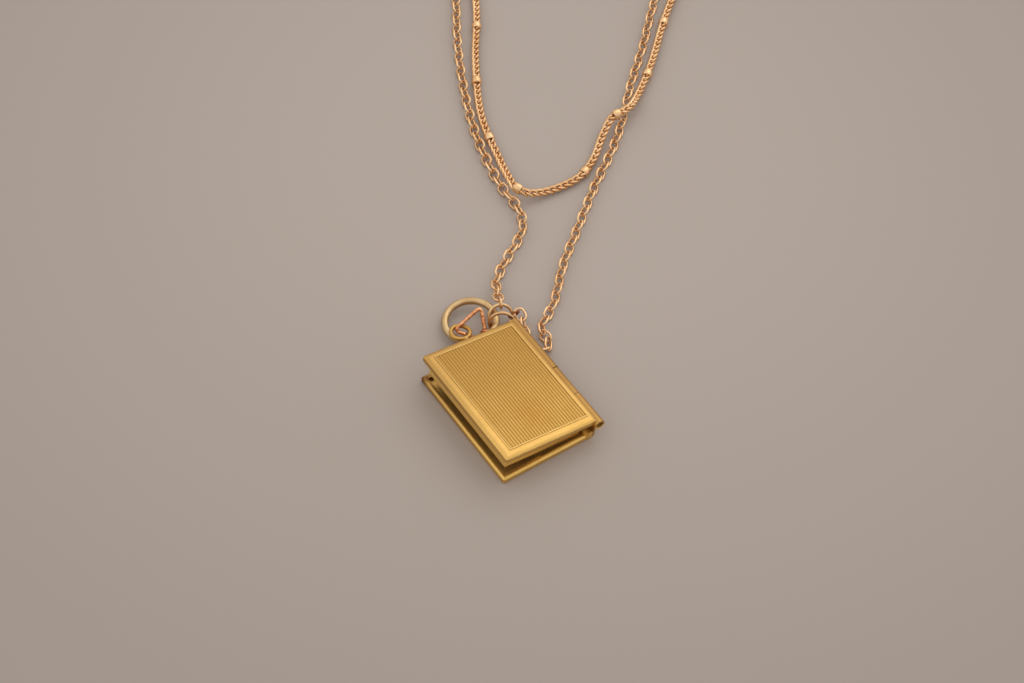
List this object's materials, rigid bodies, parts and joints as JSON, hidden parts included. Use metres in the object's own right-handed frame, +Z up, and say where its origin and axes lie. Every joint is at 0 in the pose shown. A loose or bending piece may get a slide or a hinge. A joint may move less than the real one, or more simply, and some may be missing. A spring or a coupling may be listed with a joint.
{
  "type": "book locket",
  "caption": "Book-shaped gold-tone locket standing ajar on its spine hinge, with a ring and triangular link at its bail and a cable chain and a fine beaded chain on a shared clasp.",
  "frame": {"origin": "centre of the back cover's outer face, on the surface that the locket lies on", "axes": "+X from the fore-edge to the spine hinge, +Y from the foot of the book to its chain end, +Z up, out of the surface"},
  "size_m": [0.1562, 0.195, 0.0072],
  "materials": {
    "locket_gold": "satin gold plate, worn and tarnished in the recesses",
    "pin_metal": "dull dark brass",
    "ring_gold": "bright pale gold plate",
    "copper_gold": "warm copper-toned plate",
    "chain_gold": "bright pale gold plate"
  },
  "bodies": {
    "locket_back": {"back_cover": "locket_gold", "hinge_pin": "pin_metal", "large_ring": "ring_gold", "triangle_link": "copper_gold", "connector_ring": "copper_gold", "jump_ring_1": "ring_gold", "jump_ring_2": "ring_gold", "small_ring": "copper_gold", "cable_chain": "chain_gold", "fine_chain": "chain_gold", "clasp": "chain_gold"},
    "locket_front": {"front_cover": "locket_gold"}
  },
  "joints": [
    {"name": "cover_hinge", "type": "hinge", "parent": "locket_back", "child": "locket_front", "pos_m": [0.00995, 0, 0.00375], "axis": [0, 1, 0], "range_deg": [-7.25, 165]}
  ]
}
